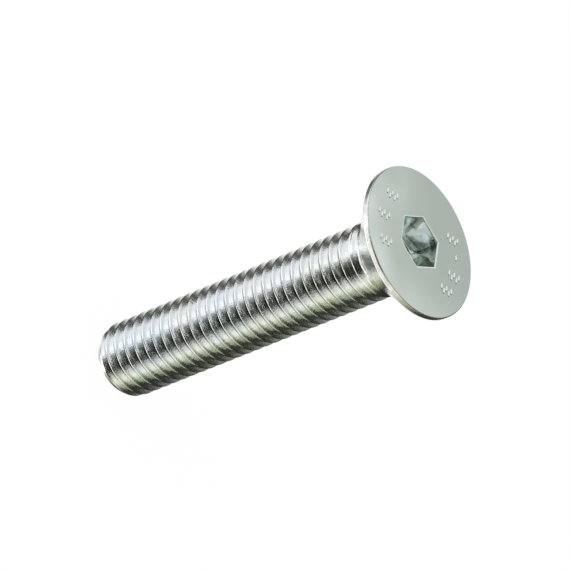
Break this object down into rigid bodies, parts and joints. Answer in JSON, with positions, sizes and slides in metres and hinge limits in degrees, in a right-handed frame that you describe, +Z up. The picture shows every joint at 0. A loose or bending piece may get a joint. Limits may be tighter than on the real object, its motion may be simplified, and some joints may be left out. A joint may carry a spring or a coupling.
{
  "type": "countersunk socket screw",
  "caption": "Flat countersunk screw with a hexagon socket in its face, a short land round the rim, a 90 degree cone and a metric thread up to the head.",
  "frame": {"origin": "centre of the flat end face, on the surface that the screw stands on", "axes": "+Z up the screw's axis, from the threaded end to the face of the head; the groove crosses the end's plane 50 degrees from +X towards -Y"},
  "size_m": [0.0156, 0.0156, 0.04],
  "materials": {
    "zinc_plated_steel": "bright zinc plate with a pale blue passivation, smooth satin"
  },
  "bodies": {
    "root": {"screw": "zinc_plated_steel"}
  },
  "joints": []
}
